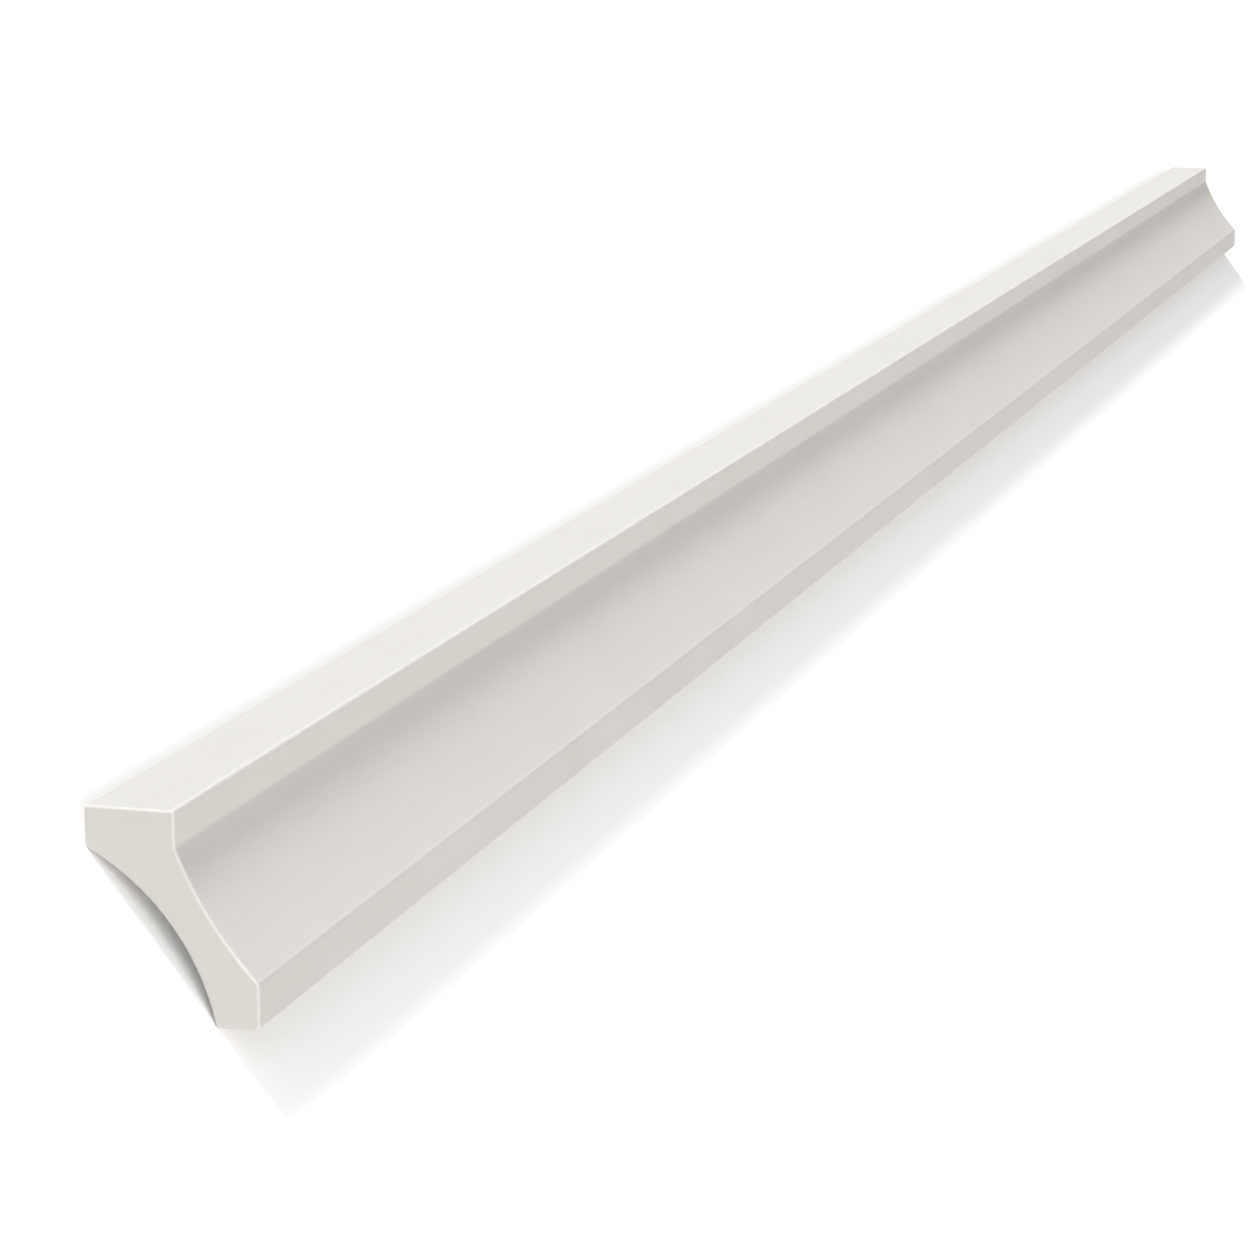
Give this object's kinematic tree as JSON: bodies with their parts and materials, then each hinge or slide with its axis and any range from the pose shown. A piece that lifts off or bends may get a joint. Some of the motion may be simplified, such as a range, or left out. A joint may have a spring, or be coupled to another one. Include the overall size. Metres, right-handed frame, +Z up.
{
  "type": "cove crown moulding",
  "caption": "Straight stick of cove crown moulding: flat ceiling and wall faces, concave room face, shallow hollow back and square cut ends, finished in matte off-white primer.",
  "frame": {"origin": "middle of the moulding's underside, on the floor it lies on", "axes": "+X along the length, towards the end that is nearest in the picture; +Y across it, towards the side with the wall face; +Z up from the floor, with the cove underneath and the hollow back on top"},
  "size_m": [2.44, 0.0894, 0.032],
  "materials": {
    "primed_wood": "matte"
  },
  "bodies": {
    "root": {"crown_moulding": "primed_wood"}
  },
  "joints": []
}
